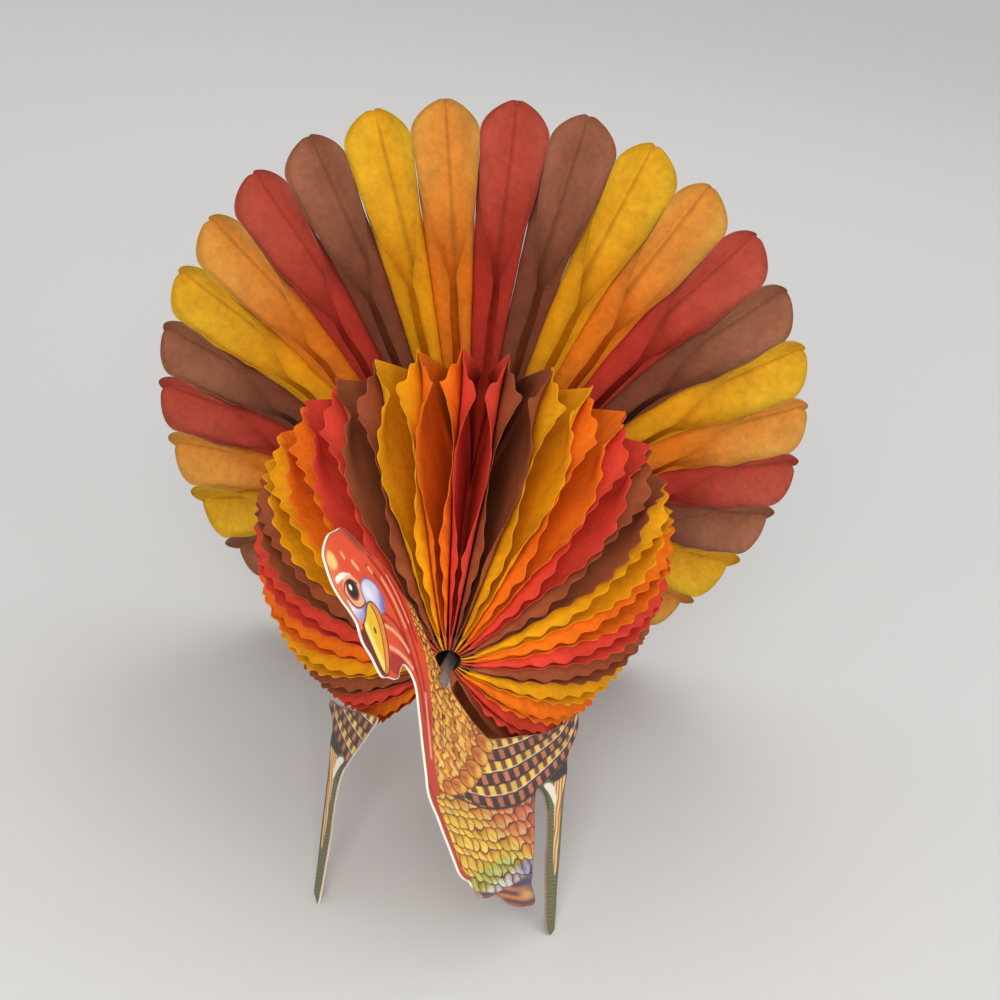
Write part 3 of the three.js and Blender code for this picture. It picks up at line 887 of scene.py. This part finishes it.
def paintThroat(points, colours):
    p = throat
    v = points[:, 1]
    band = np.interp(v, p["heights"], p["widths"])
    mask = softLine(lineDistance(points, p["line"]), band, p["soft"]) * (v < p["high"]) * (v > p["low"])
    lay(colours, mask, p["skin"])
    shifted = [(x + p["creaseShift"], y) for x, y in p["line"]]
    crease = stroke(shifted, p["creaseWidth"], p["crease"], p["creaseSoft"], p["creaseShare"])
    layMarks(points, colours, [crease], mask)


def paintWing(points, colours):
    # Barred feathers in bands: dark with salmon blocks, and rust with straw blocks, by turns
    p = wing
    s, v = points[:, 0], points[:, 1]
    mask = shapeMask(points, p["edge"] + p["rest"], p["soft"])
    width = np.interp(s, *zip(*p["width"]))
    band = (v - np.interp(s, *zip(*p["low"]))) / width
    index = np.floor(band)
    inner = band - index
    along = (s * p["stretch"] - v * p["tilt"]) / p["period"] + p["stagger"] * index
    even = np.mod(index, 2) < 0.5
    block = along - np.floor(along) + 0.06 * np.sin(v * 9 + s * 3)
    salmonBlock = smoothStep(0.1, 0.16, block) * smoothStep(0.6, 0.54, block)
    strawBlock = smoothStep(0.02, 0.1, block) * smoothStep(0.62, 0.54, block)
    shade = (0.88 + 0.2 * hashOf(np.floor(along), index))[:, None]
    dark = blendTo(p["bark"], np.array(p["salmon"]) * shade, salmonBlock)
    warm = blendTo(p["rust"], np.array(p["straw"]) * shade, strawBlock)
    lay(colours, mask, np.where(even[:, None], dark, warm))
    lay(colours, mask * softLine(np.minimum(inner, 1 - inner) * width, 0.3, 0.3), p["line"])
    lowLine = softLine(np.abs(inner * width - 0.42), 0.16, 0.25) * (~even & (inner < 0.5))
    lay(colours, mask * lowLine, p["cream"])
    highLine = softLine(np.abs((1 - inner) * width - 0.5), 0.05, 0.25) * (even & (inner > 0.5))
    lay(colours, mask * p["paleShare"] * highLine, p["paleCream"])
    lay(colours, strokeMask(points, p["edge"], p["edgeWidth"]), p["edgeColour"])


leg = dict(
    outline=[
        (24, -55.5), (30, -57.3), (37, -59.6), (45, -61.4), (52, -62.6), (60, -66), (-12, -96), (-12, -84),
        (20, -66.5), (25, -62),
    ],
    soft=0.4, dark=(58, 62, 36), light=(136, 138, 90),
    strip=[
        (34, -61), (42, -63.8), (44, -65.4), (36, -67), (28, -71), (20, -75.2), (12, -79.2), (9.4, -79),
        (16, -74), (24, -69.4), (30, -64.6),
    ],
    stripSoft=0.6, stripDark=(188, 104, 48), stripLight=(250, 222, 160),
    marks=[
        area([(28.4, -57.6), (31.4, -58.4), (34.6, -61.4), (33, -65), (28.6, -67.4), (30, -62)],
             (246, 240, 226), 0.5),
        area([(33, -58.4), (38, -60), (45, -61.6), (51, -62.8), (46, -65.6), (43.4, -64.4), (38, -63),
              (35, -61)], (46, 40, 26), 0.5),
        area([(24.4, -56), (28, -57), (29.4, -60.4), (25, -65.6), (24.6, -63.6), (26.4, -60)],
             (70, 76, 46), 0.4, 0.9),
    ],
)


def paintLeg(points, colours):
    p = leg
    s, v = points[:, 0], points[:, 1]
    mask = shapeMask(points, p["outline"], p["soft"])
    hatch = np.sin((s * 0.9 + v * 2.1) * 3.1 + 1.5 * np.sin(s * 1.3) + 2.2 * np.sin(2.3 * v - 1.7 * s))
    lay(colours, mask, blendTo(p["dark"], p["light"], 0.5 + 0.5 * hatch))
    streak = 0.5 + 0.5 * np.sin((0.914 * v - 0.404 * s) * 3.6 + 0.9 * np.sin(s * 0.6))
    strip = mask * shapeMask(points, p["strip"], p["stripSoft"])
    lay(colours, strip, blendTo(p["stripDark"], p["stripLight"], streak))
    layMarks(points, colours, p["marks"], mask)


def paintBorder(points, colours, ring):
    # A pale cut edge, widest down the front, with a thin shade inside it
    edge = lineDistance(points, closedLine(ring))
    front = smoothStep(3, 1, lineDistance(points, headFront + neckFront))
    width = card["border"] * (card["sideBorder"] + (1 - card["sideBorder"]) * front)
    soft = card["borderSoft"]
    lay(colours, softLine(edge, width + soft, soft) * 0.7, card["borderShade"])
    lay(colours, softLine(edge, width, soft) * (0.55 + 0.45 * front), card["borderColour"])


def paintCard(points, ring):
    colours = np.zeros((len(points), 3))
    for paint in (paintHead, paintEye, paintBeak, paintBreast, paintThroat, paintWing, paintNeck, paintLeg):
        paint(points, colours)
    paintBorder(points, colours, ring)
    return np.clip(colours * card["printStrength"], 0, 255)


def faceMesh(ring, step):
    # One face of a card: its outline filled with even triangles
    low, high = ring.min(0), ring.max(0)
    xs = np.arange(low[0], high[0], step)
    ys = np.arange(low[1], high[1], step * card["rowStep"])
    grid = np.array([(x + (0.5 * step if k % 2 else 0), y) for k, y in enumerate(ys) for x in xs])
    grid = grid[insideShape(grid, ring)]
    grid = grid[lineDistance(grid, closedLine(ring)) > card["edgeClear"] * step]
    edges = [(i, (i + 1) % len(ring)) for i in range(len(ring))]
    points = [Vector(p) for p in np.concatenate([ring, grid])]
    made, _, triangles, *_ = delaunay_2d_cdt(points, edges, [], 0, 1e-7, False)
    made = np.array([tuple(p) for p in made])
    triangles = np.array(triangles)
    return made, triangles[insideShape(made[triangles].mean(1), ring)].tolist()


def plateMesh(outline, frontStep, backStep, anchor, back, up, face):
    # Two faces cut to the outline, and a band of faces round the edge between them.
    verts, faces, flat, starts = [], [], [], []
    ring = smoothOutline(outline, frontStep * card["ringStep"])
    for side, step in ((1, frontStep), (-1, backStep)):
        made, triangles = faceMesh(ring, step)
        offset = len(flat)
        starts.append(offset)
        flat.extend(made)
        lift = side * card["thickness"] / 2
        verts.extend(np.array(anchor) + made[:, :1] * back + made[:, 1:2] * up + lift * face)
        for triangle in triangles:
            a, b, c = (made[i] for i in triangle)
            turn = (b[0] - a[0]) * (c[1] - a[1]) - (b[1] - a[1]) * (c[0] - a[0])
            order = triangle if (turn > 0) == (side > 0) else triangle[::-1]
            faces.append([i + offset for i in order])
    around = np.roll(ring, -1, axis=0)
    windsLeft = np.sum(ring[:, 0] * around[:, 1] - around[:, 0] * ring[:, 1]) > 0
    for i in range(len(ring)):
        j = (i + 1) % len(ring)
        quad = [starts[0] + i, starts[1] + i, starts[1] + j, starts[0] + j]
        faces.append(quad if windsLeft else quad[::-1])
    return np.array(verts), faces, np.array(flat), ring


def printedMaterial():
    material, tree, shader = startMaterial("printed card", card["shader"])
    colour = addNode(tree, "ShaderNodeAttribute", attribute_name="printColour").outputs["Color"]
    mottled = multiplyColours(tree, colour, paperMottle(tree, shader, card))
    tree.links.new(mottled, shader.inputs["Base Color"])
    return material


def setPrint(mesh, colours):
    attribute = mesh.attributes.new("printColour", "FLOAT_COLOR", "POINT")
    opaque = np.concatenate([colours, np.ones((len(colours), 1))], 1)
    attribute.data.foreach_set("color", opaque.ravel().astype(np.float32))


printed = printedMaterial()


def cardPiece(name, node, outline, placement, printedBack, fineSide):
    spacings = (card["fine"], card["coarse"]) if fineSide > 0 else (card["coarse"], card["fine"])
    verts, faces, flat, ring = plateMesh(outline, *spacings, *placement)
    mesh = bpy.data.meshes.new(name)
    mesh.from_pydata(toFrame(verts).tolist(), [], faces)
    piece = bpy.data.objects.new(name, mesh)
    bpy.context.scene.collection.objects.link(piece)
    colours = linear(paintCard(flat, ring))
    if not printedBack:
        plain = (verts - placement[0]) @ placement[3] * fineSide < 0
        colours[plain] = linear(card["board"])
    setPrint(mesh, colours)
    # The floor cuts the feet level.
    editAll(
        piece, bpy.ops.mesh.bisect,
        plane_co=(0, 0, 0), plane_no=(0, 0, 1), use_fill=True, clear_inner=True,
    )
    piece.data.materials.append(printed)
    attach(piece, "figure")
    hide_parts(node)
    return piece


def glueTab(placement):
    # A tab folds in from the left card's wing to the edge of the first petal.
    tab = card["tab"]
    anchor, back, up, face = placement
    deselectAll()
    bpy.ops.mesh.primitive_cube_add(size=1)
    piece = bpy.context.object
    corners = readPoints(piece.data) + 0.5
    s = tab["start"] + tab["width"] * corners[:, :1]
    v = tab["top"] - tab["thickness"] * corners[:, 1:2]
    inward = tab["reach"] * corners[:, 2:]
    placePoints(piece.data, anchor + s * back + v * up + inward * face)
    setPrint(piece.data, np.tile(linear(card["board"]), (len(corners), 1)))
    editAll(piece, bpy.ops.mesh.normals_make_consistent, inside=False)
    return piece


def joinTo(piece, extra):
    makeActive(piece)
    extra.select_set(True)
    bpy.ops.object.join()


rightPlacement = cardPlacement(card["rightAnchor"], card["rightYaw"], card["rightLean"])
leftPlacement = cardPlacement(card["leftAnchor"], card["leftYaw"], card["leftLean"])
birdCard = cardPiece("birdCard", "bird_card", rightOutline, rightPlacement, True, 1)
leftCard = cardPiece("leftWingCard", "left_wing_card", leftOutline, leftPlacement, False, -1)
joinTo(leftCard, glueTab(leftPlacement))
print("cards printed:", len(birdCard.data.polygons), len(leftCard.data.polygons))

# The spine core and the clip keep their solids and get materials.
# Painted shade: the core's near-black colour stands for the shade in the hollow at the pole.
coreShadeFinish = dict(
    shader={"Roughness": 0.9}, fibreSize=500, cloudSize=80, bump=0.3, bumpDepth=0.0004,
    mottle=[(0.3, (20, 10, 6)), (0.7, (40, 22, 14))],
)
clipFinish = dict(
    shader={"Roughness": 0.4, "Metallic": 0.85}, fibreSize=1500, cloudSize=300, bump=0.1, bumpDepth=0.0001,
    mottle=[(0.3, (120, 112, 104)), (0.7, (168, 162, 154))],
)


def solidMaterial(name, finish):
    material, tree, shader = startMaterial(name, finish["shader"])
    tree.links.new(paperMottle(tree, shader, finish), shader.inputs["Base Color"])
    return material


for nodeName, materialName, finish in (
    ("spine_core", "rolled paper", coreShadeFinish),
    ("neck_clip", "clip metal", clipFinish),
):
    nodes[nodeName].data.materials.clear()
    nodes[nodeName].data.materials.append(solidMaterial(materialName, finish))


# Floor, light and camera
studio = dict(
    floor=(200, 199, 197), floorShader={"Roughness": 0.9}, floorSize=6, floorHeight=-0.0002, world=0.82,
    lights=dict(
        key=dict(place=(-0.08, -0.98, 0.6), target=(0, 0, 0.09), size=0.6, power=7.6),
        fill=dict(place=(0.8, -0.7, 0.5), target=(0, 0, 0.09), size=0.7, power=2.4),
        rim=dict(place=(0.1, 0.9, 0.9), target=(0, 0, 0.1), size=0.6, power=2.0),
    ),
    lens=75.6, sensor=36, clipStart=0.01,
    cameraPlace=(0.00281, -0.62412, 0.38281), cameraTurn=(65.937, -6.647, 2.276),
)


def floorPiece():
    deselectAll()
    bpy.ops.mesh.primitive_plane_add(size=studio["floorSize"], location=(0, 0, studio["floorHeight"]))
    floor = bpy.context.object
    floor.name = "floor"
    material, _, shader = startMaterial("floor", studio["floorShader"])
    shader.inputs["Base Color"].default_value = (*linear(studio["floor"]), 1)
    floor.data.materials.append(material)


def areaLight(name, place, target, size, power):
    data = bpy.data.lights.new(name, "AREA")
    data.size = size
    data.energy = power
    lamp = bpy.data.objects.new(name, data)
    bpy.context.scene.collection.objects.link(lamp)
    lamp.location = place
    lamp.rotation_euler = (Vector(target) - Vector(place)).to_track_quat("-Z", "Y").to_euler()


def addCamera(scene):
    data = bpy.data.cameras.new("camera")
    data.lens = studio["lens"]
    data.sensor_width = studio["sensor"]
    data.clip_start = studio["clipStart"]
    camera = bpy.data.objects.new("camera", data)
    scene.collection.objects.link(camera)
    camera.location = studio["cameraPlace"]
    camera.rotation_euler = [math.radians(angle) for angle in studio["cameraTurn"]]
    scene.camera = camera


floorPiece()
for name, light in studio["lights"].items():
    areaLight(name, **light)
scene = bpy.context.scene
scene.world = bpy.data.worlds.new("studio")
scene.world.use_nodes = True
background = scene.world.node_tree.nodes["Background"]
background.inputs["Color"].default_value = (1, 1, 1, 1)
background.inputs["Strength"].default_value = studio["world"]
addCamera(scene)
scene.view_settings.view_transform = "Standard"
print("studio ready")
